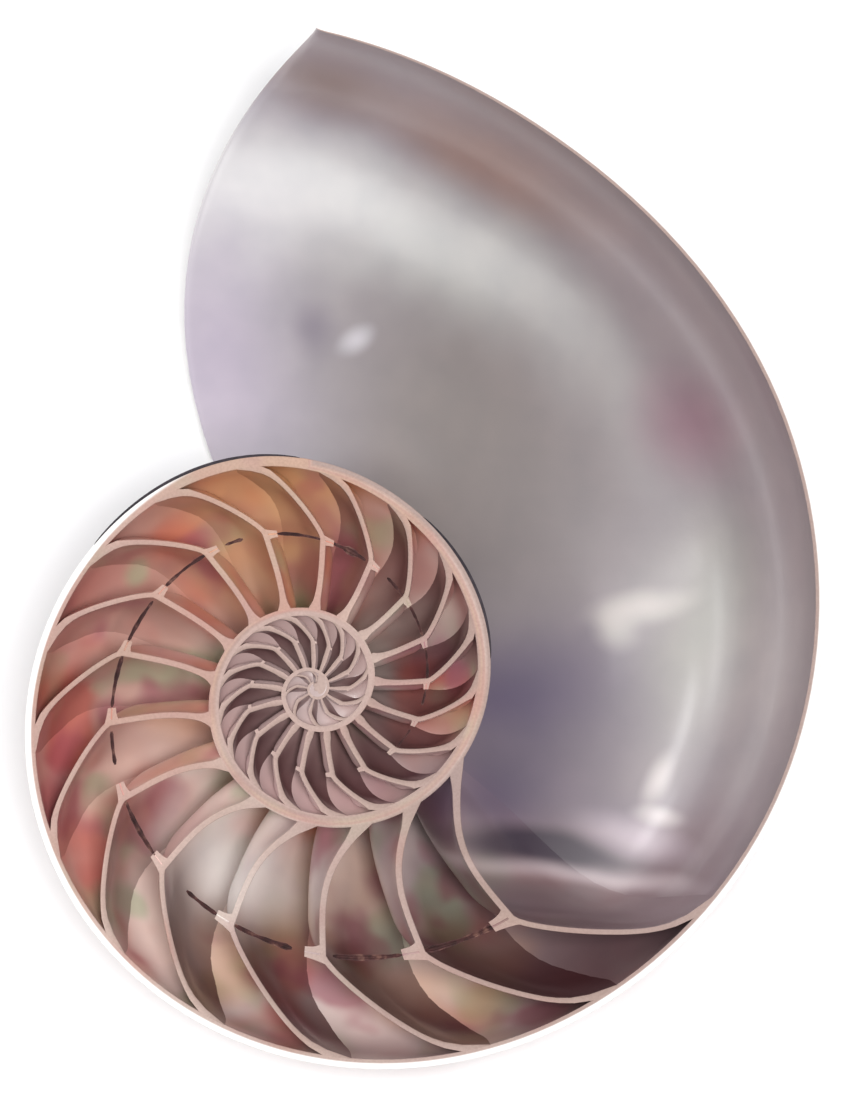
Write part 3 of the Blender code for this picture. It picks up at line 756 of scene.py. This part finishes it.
def septum_body(number, age):
    """One septum as a closed sheet, with its rows from the inner to the outer wall.

    Half its thickness lies each side of its middle surface, measured square to it, with a fillet that
    dies away from both walls. Its ends reach a little into the walls, a hair lower than the sawn face. The
    youngest septum, which faces the body chamber, has no painted maroon shade.
    """
    rows = SEPTUM_ROWS if number < OLD_SEPTA_FROM else OLD_SEPTUM_ROWS
    across = np.concatenate([[-INTO_WALLS], np.linspace(0, 1, rows), [1 + INTO_WALLS]])
    down = np.linspace(0, CHAMBER_END + INTO_CALLUS, SEPTUM_COLUMNS)
    s, t = np.meshgrid(across, down, indexing='ij')
    middle = age + bowl_lag(number, age, np.clip(s, 0, 1), t)
    points = chamber_point(middle, s, t)
    radius = np.hypot(points[..., 0], points[..., 1]).clip(1e-6)
    along = np.radians(middle)
    lean = 0
    for axis in (0, 1):
        run = np.linalg.norm(np.gradient(points, axis=axis), axis=-1).clip(1e-6)
        lean = lean + (np.gradient(along, axis=axis) * radius / run) ** 2
    lean = np.clip(lean, 0, STEEPEST_LEAN)
    width = np.linalg.norm(chamber_point(middle, 1 + 0 * s, t) - chamber_point(middle, 0 * s, t), axis=-1)
    half = thickness(SEPTUM, age) / 2
    reach = np.minimum(FILLET_REACH, FILLET_WIDTH_SHARE * width)
    nearest = np.minimum(np.clip(s, 0, 1), 1 - np.clip(s, 0, 1)) * width
    fillet = 1 + FILLET_GAIN * np.exp(-nearest / reach.clip(1e-6))
    turn = np.degrees(half * fillet / np.sqrt(1 - lean) / radius)
    turn = np.minimum(turn, THICKEST_SHARE * YOUNGEST_STEPS[0])
    front = chamber_point(middle - turn, s, t)
    back = chamber_point(middle + turn, s, t)
    outside = (s < 0) | (s > 1)
    front[..., 2] -= TUCK * outside
    back[..., 2] -= TUCK * outside
    body, faces, kinds = sheet_body(front, back)
    if number == 0:
        shade = 0 * t
    else:
        # Painted shade in the septum's hollow: fullest towards the outer wall, fading with depth.
        outer = np.clip((s - PAINTED_SHADE_FROM) / PAINTED_SHADE_FADE, 0, 1)
        inner_share = np.interp(number, *zip(*PAINTED_SHADE_INNER_SHARES))
        fade = np.exp(-(t / np.interp(number, *zip(*PAINTED_SHADE_DEPTHS))) ** 4)
        shade = (inner_share + (1 - inner_share) * outer) * np.interp(age, *zip(*PAINTED_SHADE_STRENGTHS)) * fade
    return body, faces, kinds, {
        "age": loop_values(middle, middle),
        "down": loop_values(t, t),
        "painted_shade": loop_values(shade, 0 * shade),
    }


def plain_body(front, back, age, down):
    """A closed body between two grids, its sawn edge not bevelled, with the grids' own ages and t."""
    return *sheet_body(front, back, 0.0), {"age": loop_values(age, age), "down": loop_values(down, down)}


def join_bodies(name, bodies, slot_of_kind, materials):
    """One mesh from several closed bodies, each with its points, faces, face kinds and values by name.

    slot_of_kind holds the material slots of front, back and edge faces.
    """
    corners = []
    first = 0
    for points, faces, _, _ in bodies:
        corners.append(faces[:, ::-1] + first)
        first += len(points)
    points = np.concatenate([body[0] for body in bodies])
    kinds = np.concatenate([body[2] for body in bodies]).astype(int)
    slots = np.array(slot_of_kind)[kinds]
    values = {key: np.concatenate([body[3][key] for body in bodies]) for key in bodies[0][3]}
    return put_in_mesh(name, points, np.concatenate(corners), slots, values, materials)


septa_ages = septum_ages()
septa = join_bodies("septa", [septum_body(number, age) for number, age in enumerate(septa_ages)],
                    (0, 0, 1), (nacre, cut_edge))
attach(septa, "root")

# The septal necks.
# Round its siphuncle hole each septum is drawn out backwards into a short funnel. The saw halved it, so it
# shows as a bright knob on the septum's edge.

# Sizes as shares of the whorl's radius, and how quickly the funnel and its bore narrow.
NECK_FLARE = 0.037
NECK_LENGTH = 0.046
NECK_TIP = 0.0130
NECK_BORE = 0.0022
NECK_MOUTH = 0.0036
NECK_NARROWING = 3.4
BORE_NARROWING = 7.0
BORE_WIDEST = 0.86
NECK_ROOT = 0.6
NECK_STATIONS = 12
NECK_SIDES = 18


def siphuncle_line(number, ages, along):
    """The siphuncle behind a septum: age angle, distance from the axis, and the walls' distances there.

    along is the distance in metres from the septum's middle surface, measured backwards.
    """
    start = ages[number] + bowl_lag(number, ages[number], siphuncle_share(ages[number]), 0.0)
    inner = spiral_radius(start + FULL_TURN)
    outer = spiral_radius(start) - thickness(WALL, start)
    away = inner + siphuncle_share(ages[number]) * (outer - inner)
    age = start + np.degrees(along / away)
    inner = spiral_radius(age + FULL_TURN)
    outer = spiral_radius(age) - thickness(WALL, age)
    return age, inner + siphuncle_share(age - 20.0) * (outer - inner), inner, outer


def half_pipe(number, ages, along, radius, lean):
    """A grid of points round the lower half of the siphuncle: one row for each place along it.

    lean is how much each row follows the septum's own slope, from 1 at the septum to 0.
    """
    age, centre, inner, outer = siphuncle_line(number, ages, along)
    around = np.linspace(0, math.pi, NECK_SIDES)
    away = centre[:, None] + radius[:, None] * np.cos(around)
    height = -radius[:, None] * np.sin(around) - SAW_KERF
    s = (away - inner[:, None]) / (outer - inner)[:, None]
    start = ages[number]
    middle = bowl_lag(number, start, siphuncle_share(start), 0.0)
    slope = bowl_lag(number, start, s, 0 * s) - middle
    return turned(away, height, age[:, None] + lean[:, None] * slope), age[:, None] + 0 * away


def neck_body(number, ages):
    """One neck: a funnel whose outside narrows quickly to the tube, with a bore that opens at the front."""
    size = float(spiral_radius(ages[number]))
    share = np.linspace(0, 1, NECK_STATIONS)
    half = float(thickness(SEPTUM, ages[number])) / 2
    along = -NECK_ROOT * half + share * (NECK_LENGTH * size + NECK_ROOT * half)
    funnel = np.exp(-NECK_NARROWING * share) * (1 - share ** 6)
    outside = size * (NECK_TIP + (NECK_FLARE - NECK_TIP) * funnel)
    bore = size * (NECK_BORE + (NECK_MOUTH - NECK_BORE) * np.exp(-BORE_NARROWING * share))
    lean = np.clip(1 - share, 0, 1) ** 1.5
    front, age = half_pipe(number, ages, along, outside, lean)
    back, _ = half_pipe(number, ages, along, np.minimum(bore, BORE_WIDEST * outside), lean)
    front[:, 0, 2] -= TUCK / 2
    front[:, -1, 2] -= TUCK / 2
    return plain_body(front, back, age, 0 * age)


necks = join_bodies("septal_necks", [neck_body(number, septa_ages) for number in range(SEPTUM_COUNT)],
                    (0, 0, 1), (nacre, cut_edge))
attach(necks, "root")

# The siphuncle's tube.
# It ran from neck to neck through all chambers: a thin, horny brown skin. What is left of it has dried,
# wavers in width and is broken in places.

# Radii as shares of the whorl's radius, starts and ends as shares of the way to the next septum.
TUBE_OUTSIDE = 0.0062
TUBE_INSIDE = 0.0036
TUBE_STATIONS = 24
TUBE_COUNT = 17
TUBE_STARTS = (0.18, 0.20, 0.32, 0.19, 0.18, 0.44, 0.21)
TUBE_ENDS = (0.97, 0.90, 0.96, 0.62, 0.95, 0.88)
# Swell, waves along a stretch, and shift from one stretch to the next.
TUBE_WAVERS = ((0.22, 9.0, 2.3), (0.10, 31.0, 1.0))
TUBE_END_ROUNDING = 0.05
TUBE_END_SIZE = 0.2
CLUMP_STRETCH = 11
CLUMP_SWELL = 1.9
CLUMP_AT = 0.55
CLUMP_REACH = 0.13
HORN_SCALE = 700.0
HORN_COLOURS = ((0.35, linear("33201f")), (0.55, linear("4a2d2c")), (0.72, linear("7c5a4f")))
HORN_BUMP = 0.08 * MM


def make_horn():
    """Dried horny tube: dark brown, rough, paler where it is worn."""
    material, tree, shader = new_material("horny_tube", roughness=0.62, specular=0.35)
    place = add_node(tree, "ShaderNodeTexCoord").outputs["Object"]
    worn = noise(tree, place, HORN_SCALE, 3.0)
    tree.links.new(ramp(tree, worn, HORN_COLOURS), shader.inputs["Base Color"])
    tree.links.new(bump(tree, worn, HORN_BUMP), shader.inputs["Normal"])
    return material


def tube_body(number, ages):
    """One stretch of tube between two septa, thin-walled, wavering a little in width."""
    size = float(spiral_radius(ages[number]))
    here, away, _, _ = siphuncle_line(number, ages, np.zeros(1))
    after, _, _, _ = siphuncle_line(number + 1, ages, np.zeros(1))
    span = math.radians(float(after[0] - here[0])) * float(away[0])
    start = TUBE_STARTS[number % len(TUBE_STARTS)]
    share = np.linspace(start, TUBE_ENDS[number % len(TUBE_ENDS)], TUBE_STATIONS)
    waver = 1 + sum(swell * np.sin(waves * share + shift * number) for swell, waves, shift in TUBE_WAVERS)
    if number == CLUMP_STRETCH:
        waver = waver + CLUMP_SWELL * np.exp(-((share - CLUMP_AT) / CLUMP_REACH) ** 4)
    from_ends = np.minimum(share - share[0], share[-1] - share)
    ends = np.sqrt(np.clip(from_ends / TUBE_END_ROUNDING, TUBE_END_SIZE, 1))
    front, age = half_pipe(number, ages, share * span, TUBE_OUTSIDE * size * waver * ends, 0 * share)
    back, _ = half_pipe(number, ages, share * span, TUBE_INSIDE * size * waver * ends, 0 * share)
    front[..., 2] -= TUCK
    back[..., 2] -= TUCK
    return plain_body(front, back, age, 0 * age)


tube = join_bodies("siphuncle_tube", [tube_body(number, septa_ages) for number in range(TUBE_COUNT)],
                   (0, 0, 0), (make_horn(),))
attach(tube, "root")

# The solid middle.
# Near the coiling axis the turns have grown together: a callus fills the narrow space under the chambers,
# closes the umbilicus outside, and the first chamber of all ends in solid shell.
FILL_START = 0.4
FILL_END = 1130.0
FILL_ROWS = 300
FILL_COLUMNS = 9
FILL_INTO_WALLS = 0.03
CALLUS_DEPTH_AGE = 200.0
CALLUS_WALL = 1.6 * MM
TURN_ROWS = 90
TURN_COLUMNS = 10
AXIS_GAP = 0.02 * MM


def make_umbilical_fill():
    """The callus between the turns: a spiral ramp from one wall across to the next."""
    times = np.linspace(FILL_START, FILL_END, FILL_ROWS)
    across = np.linspace(-FILL_INTO_WALLS, 1 + FILL_INTO_WALLS, FILL_COLUMNS)
    time, s = np.meshgrid(times, across, indexing='ij')
    upper = chamber_point(time + lip_age(CHAMBER_END), s, CHAMBER_END + 0 * s)
    lower = chamber_point(time + lip_age(1.0), s, 1.0 + 0 * s)
    body = plain_body(upper, lower, time, CHAMBER_END + 0 * time)
    return join_bodies("umbilical_fill", [body], (0, 0, 0), (nacre,))


def make_callus():
    """The closed umbilicus outside: from the last turn's inner edge in to the axis, gently domed."""
    times = np.linspace(0.0, FULL_TURN, TURN_ROWS)
    time, share = np.meshgrid(times, np.linspace(0, 1, TURN_COLUMNS), indexing='ij')
    away, height = wall_point(time + lip_age(1.0), 1.0 + 0 * share, 0.0)
    middle = -UMBILICUS_DEPTH * float(spiral_radius(CALLUS_DEPTH_AGE))
    depth = height + (middle - height) * np.sin(share * math.pi / 2) ** 2
    outside = turned(away * (1 - share) + AXIS_GAP, depth, time + lip_age(1.0))
    inside = outside + np.array([0, 0, CALLUS_WALL])
    body = plain_body(outside, inside, time, 1.0 + 0 * time)
    return join_bodies("umbilical_callus", [body], (0, 0, 0), (porcelain,))


def make_apex():
    """The solid end behind the first chamber: a turn of solid shell, from the outer wall in to the axis."""
    times = np.linspace(APEX, APEX + FULL_TURN, TURN_ROWS)
    time, share = np.meshgrid(times, np.linspace(0.01, 1.02, TURN_COLUMNS), indexing='ij')
    away, height = wall_point(time, 0 * share, thickness(WALL, time))
    upper = turned(away * share, height - TUCK, time)
    away, height = wall_point(time, 0 * share + 1.0, 0.0)
    lower = upper + (height - TUCK)[..., None] * np.array([0.0, 0.0, 1.0])
    return join_bodies("apex", [plain_body(upper, lower, time, 0 * time)], (1, 0, 0), (nacre, cut_edge))


for piece in (make_umbilical_fill(), make_callus(), make_apex()):
    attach(piece, "root")

# The black film.
# Where the mantle lay over the earlier turn in front of the aperture it left a thin black layer on the
# shell, and a second strip is buried under the pearl of the last chamber. The saw shows both as lines.

# Age angles of each strip's ends, and how far down it reaches in t.
FILM_SPANS = ((303.0, 356.0, 0.52), (392.0, 440.0, 0.22))
FILM_THICKNESS = 0.42 * MM
FILM_SUNK = 0.05 * MM
FILM_TIP = 0.12
FILM_ROWS = 60
FILM_COLUMNS = 20
FILM_SCALE = 500.0
FILM_COLOURS = ((0.3, linear("201c22")), (0.7, linear("3d353b")))
FILM_BUMP = 0.06 * MM


def make_film_material():
    """Black, slightly bluish organic film, satin."""
    material, tree, shader = new_material("black_film", roughness=0.45, specular=0.4)
    place = add_node(tree, "ShaderNodeTexCoord").outputs["Object"]
    streaks = noise(tree, place, FILM_SCALE, 4.0, 0.6)
    tree.links.new(ramp(tree, streaks, FILM_COLOURS), shader.inputs["Base Color"])
    tree.links.new(bump(tree, streaks, FILM_BUMP), shader.inputs["Normal"])
    return material


def film_body(start, end, widest):
    """One strip of film on the outside of the earlier turn, thinning out at both ends and at its margin."""
    rows = np.linspace(0, 1, FILM_ROWS)
    share, across = np.meshgrid(rows, np.linspace(0, 1, FILM_COLUMNS), indexing='ij')
    swell = np.sin(math.pi * share) ** 0.5
    ragged = 1 + 0.08 * np.sin(37.0 * share) + 0.05 * np.sin(91.0 * share + 1.0)
    t = across * widest * (FILM_TIP + (1 - FILM_TIP) * swell) * ragged
    age = start + share * (end - start)
    thick = FILM_THICKNESS * swell * np.sqrt(np.clip(1 - across ** 3, 0.02, 1))
    away, height = wall_point(age, t, -thick)
    front = turned(away, height, age)
    away, height = wall_point(age, t, FILM_SUNK)
    back = turned(away, height, age)
    return plain_body(front, back, age, t)


film = join_bodies("black_film", [film_body(*span) for span in FILM_SPANS],
                   (0, 0, 0), (make_film_material(),))
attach(film, "root")

# The floor.
# A pale, matt sheet under the shell, so wide that its edges are never in the picture. It is no part of the
# object.
bpy.ops.mesh.primitive_plane_add(size=6.0, location=(0, 0, 0))
floor = bpy.context.object
floor.name = "floor"
floor_material, _, floor_shader = new_material("pale_floor", roughness=0.9, specular=0.1)
floor_shader.inputs["Base Color"].default_value = (0.94, 0.94, 0.95, 1)
floor.data.materials.append(floor_material)

# The lights.
# A pale studio: softboxes round the camera, whose glow lies in the hollow of the shell, a broad one close to
# the camera that gives no glow, and a soft surround.

# The side on which the surround is brightest, and its light by nearness to that side, from 0 to 1.
WINDOW_SIDE = (-0.70, 0.50, 0.50)
SURROUND = (
    (0.0, (0.42, 0.42, 0.44)),
    (0.45, (0.26, 0.26, 0.27)),
    (0.72, (0.62, 0.62, 0.63)),
    (0.95, (1.5, 1.5, 1.5)),
)
LIGHT_DISTANCE = 1.1
LIGHT_TARGET = np.array([0.017, 0.022, 0.0])

world = bpy.data.worlds.new("studio")
bpy.context.scene.world = world
world.use_nodes = True
studio = world.node_tree
sky = add_node(studio, "ShaderNodeTexCoord")
towards = add_node(studio, "ShaderNodeVectorMath", {"operation": 'DOT_PRODUCT'},
                   {1: tuple(LYING.to_3x3() @ Vector(WINDOW_SIDE))})
studio.links.new(sky.outputs["Generated"], towards.inputs[0])
surround = ramp(studio, towards.outputs["Value"], SURROUND)
studio.links.new(surround, studio.nodes["Background"].inputs["Color"])
studio.nodes["Background"].inputs["Strength"].default_value = 1.0


def softbox(name, off_axis, azimuth, width, height, radiance, spin=0.0):
    """A soft light aimed at the shell. off_axis is its angle away from square above the sawn face, azimuth
    its direction in the picture, anticlockwise from the right; width runs round that axis, height towards
    it, both as shares of the distance, and spin turns the box in its own plane."""
    off = math.radians(off_axis)
    turn = math.radians(azimuth)
    ray = Vector((math.sin(off) * math.cos(turn), math.sin(off) * math.sin(turn), math.cos(off)))
    across = Vector((-math.sin(turn), math.cos(turn), 0.0))
    facing = Matrix((across, ray.cross(across), ray)).transposed()
    facing = facing @ Matrix.Rotation(math.radians(spin), 3, 'Z')
    light = bpy.data.lights.new(name, 'AREA')
    light.shape = 'RECTANGLE'
    light.size = width * LIGHT_DISTANCE
    light.size_y = height * LIGHT_DISTANCE
    light.energy = radiance * math.pi * light.size * light.size_y
    thing = bpy.data.objects.new(name, light)
    bpy.context.scene.collection.objects.link(thing)
    place = laid(LIGHT_TARGET + np.array(ray) * LIGHT_DISTANCE)
    thing.matrix_world = Matrix.Translation(place) @ LYING @ facing.to_4x4()
    return thing


softbox("arc_bar", 33, 171.5, 0.66, 0.045, 5.5, 118.0)
softbox("left_strip", 55, 171, 0.30, 0.09, 3.0)
softbox("streak_strip", 46, 154, 0.22, 0.08, 7.0)
softbox("corner_box", 53, 141, 0.14, 0.12, 5.5)
softbox("near_box", 47, 237, 0.50, 0.36, 1.9)
front_box = softbox("front_box", 9, 350, 0.36, 0.36, 18.0)
front_box.visible_glossy = False

# The camera.
# It looks square onto the sawn face, and its frame is the photo's. Places in the picture are in pixels,
# from the top left.
PIXEL = 0.1587 * MM
IMAGE_WIDTH = 850
IMAGE_HEIGHT = 1097
AXIS_IN_IMAGE = (316, 689)
CAMERA_DISTANCE = 1.2

middle_x = (IMAGE_WIDTH / 2 - AXIS_IN_IMAGE[0]) * PIXEL
middle_y = (AXIS_IN_IMAGE[1] - IMAGE_HEIGHT / 2) * PIXEL
camera_data = bpy.data.cameras.new("camera")
camera = bpy.data.objects.new("camera", camera_data)
bpy.context.scene.collection.objects.link(camera)
place = laid([middle_x, middle_y, CAMERA_DISTANCE])
camera.matrix_world = Matrix.Translation(place) @ LYING
camera_data.lens = camera_data.sensor_width * CAMERA_DISTANCE / (IMAGE_HEIGHT * PIXEL)
camera_data.clip_start = 0.05
camera_data.clip_end = 20.0
bpy.context.scene.camera = camera
bpy.context.scene.view_settings.view_transform = 'Standard'
